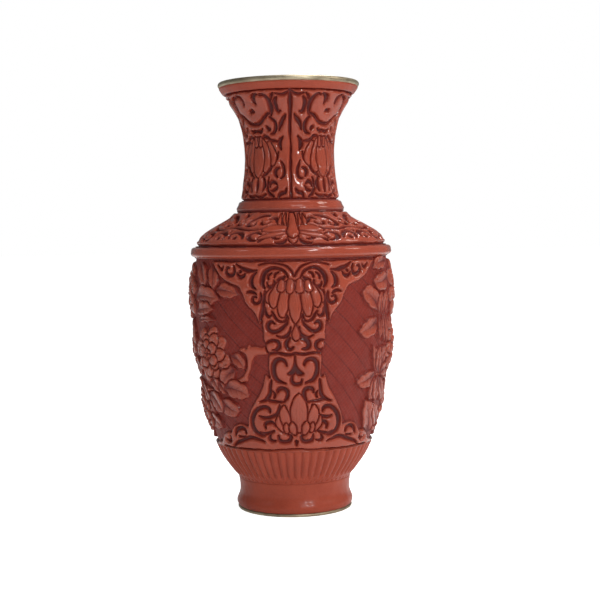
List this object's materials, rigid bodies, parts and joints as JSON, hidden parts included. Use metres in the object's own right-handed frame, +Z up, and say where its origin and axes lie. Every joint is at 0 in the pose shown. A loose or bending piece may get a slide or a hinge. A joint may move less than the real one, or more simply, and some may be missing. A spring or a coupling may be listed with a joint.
{
  "type": "carved lacquer vase",
  "caption": "Baluster vase with a flared mouth, brass rims on a copper body, and red lacquer carved with scroll strips and peony panels.",
  "frame": {"origin": "centre of the foot's underside, on the surface the vase stands on", "axes": "+Z up along the vase's axis, -Y towards the front scroll strip, the two peony panels at -X and +X"},
  "size_m": [0.1254, 0.121, 0.2554],
  "materials": {
    "brass_rims": "polished, slightly tarnished brass",
    "copper": "spun copper sheet, hidden between the lacquer and the enamel",
    "blue_enamel": "glossy vitreous enamel",
    "red_lacquer": "polished carved lacquer, cinnabar red",
    "dark_lacquer": "dark maroon ground lacquer in the recesses"
  },
  "bodies": {
    "root": {"foot_rim_ring": "brass_rims", "foot_collar": "copper", "base_plate": "copper", "belly_shell": "copper", "shoulder_shell": "copper", "neck_shell": "copper", "mouth_rim_ring": "brass_rims", "lining_enamel": "blue_enamel", "base_enamel": "blue_enamel", "foot_band": "red_lacquer", "fluted_band": "red_lacquer", "belly_ground_coat": "dark_lacquer", "front_scroll_strip": "red_lacquer", "back_scroll_strip": "red_lacquer", "left_peony_relief": "red_lacquer", "right_peony_relief": "red_lacquer", "shoulder_ring_band": "red_lacquer", "shoulder_ground_coat": "dark_lacquer", "shoulder_relief": "red_lacquer", "neck_ring_band": "red_lacquer", "neck_ground_coat": "dark_lacquer", "neck_relief": "red_lacquer", "lip_band": "red_lacquer"}
  },
  "joints": []
}
